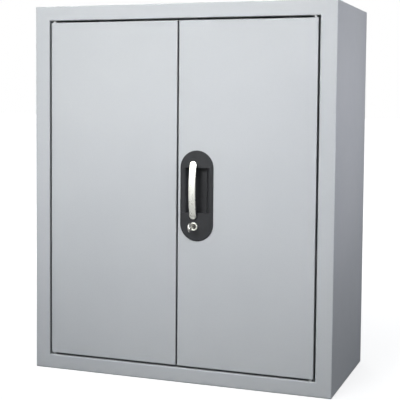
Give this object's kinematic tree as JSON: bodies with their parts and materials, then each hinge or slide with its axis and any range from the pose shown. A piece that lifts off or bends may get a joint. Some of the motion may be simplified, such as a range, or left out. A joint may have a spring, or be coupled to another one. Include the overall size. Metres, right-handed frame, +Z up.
{
  "type": "tool cabinet with doors",
  "caption": "Steel tool cabinet with flush double doors, bow handle in a finger recess, key lock driving rods, and adjustable shelves inside.",
  "frame": {"origin": "centre of the face that the cabinet stands on", "axes": "+Z up, +X to the right of a person facing the doors, +Y from the doors to the back"},
  "size_m": [0.672, 0.3435, 0.8],
  "materials": {
    "powder_coat": "light grey powder coat with fine orange peel, semi-matt",
    "zinc_plate": "bright zinc plated steel",
    "gear_steel": "oiled steel",
    "black_plastic": "black moulded plastic with a fine grain",
    "satin_nickel": "satin nickel plating",
    "key_steel": "stamped nickel silver",
    "nylon": "natural nylon",
    "catch_plastic": "dark moulded plastic",
    "rubber": "matt black rubber"
  },
  "bodies": {
    "cabinet": {"left_side": "powder_coat", "right_side": "powder_coat", "top_panel": "powder_coat", "bottom_panel": "powder_coat", "back_panel": "powder_coat", "left_uprights": "powder_coat", "right_uprights": "powder_coat", "lower_shelf": "powder_coat", "upper_shelf": "powder_coat", "shelf_clips": "zinc_plate", "top_stop_rail": "powder_coat", "bottom_stop_rail": "powder_coat", "catch_cases": "catch_plastic", "catch_poles": "zinc_plate", "rubber_bumpers": "rubber", "hinge_pins": "zinc_plate"},
    "left_door": {"left_door_panel": "powder_coat", "left_door_stiffener": "powder_coat", "left_hinge_bushes": "nylon", "left_strike_plate": "zinc_plate"},
    "right_door": {"right_door_panel": "powder_coat", "right_door_stiffener": "powder_coat", "right_hinge_bushes": "nylon", "right_strike_plate": "zinc_plate", "lock_channel": "powder_coat", "escutcheon": "black_plastic", "bow_handle": "satin_nickel", "handle_screws": "zinc_plate", "lock_barrel": "satin_nickel", "lock_nut": "zinc_plate", "lock_plate": "zinc_plate", "lock_plate_screws": "zinc_plate", "rack_guides": "nylon", "rack_cover": "zinc_plate", "cover_screws": "zinc_plate", "rod_guides": "nylon", "rod_guide_screws": "zinc_plate"},
    "key_cylinder": {"lock_plug": "satin_nickel", "key": "key_steel", "swing_bolt": "zinc_plate", "pinion": "gear_steel", "spindle_clip": "gear_steel"},
    "top_bolt": {"top_rack": "gear_steel", "top_rod": "zinc_plate"},
    "bottom_bolt": {"bottom_rack": "gear_steel", "bottom_rod": "zinc_plate"}
  },
  "joints": [
    {"name": "left_door_hinge", "type": "hinge", "parent": "cabinet", "child": "left_door", "pos_m": [-0.2908, -0.148, 0.4], "axis": [0, 0, -1], "range_deg": [0, 110]},
    {"name": "right_door_hinge", "type": "hinge", "parent": "cabinet", "child": "right_door", "pos_m": [0.2908, -0.148, 0.4], "axis": [0, 0, 1], "range_deg": [0, 110]},
    {"name": "key_turn", "type": "hinge", "parent": "right_door", "child": "key_cylinder", "pos_m": [0.038, -0.155, 0.335], "axis": [0, 1, 0], "range_deg": [0, 90]},
    {"name": "top_bolt_slide", "type": "slide", "parent": "right_door", "child": "top_bolt", "axis": [0, 0, 1], "range_m": [0, 0.01414]},
    {"name": "bottom_bolt_slide", "type": "slide", "parent": "right_door", "child": "bottom_bolt", "axis": [0, 0, -1], "range_m": [0, 0.01414]}
  ],
  "couplings": [
    {"joint": "key_turn", "follows": "top_bolt_slide", "rad_per_m": 111.11},
    {"joint": "bottom_bolt_slide", "follows": "top_bolt_slide", "ratio": 1}
  ]
}
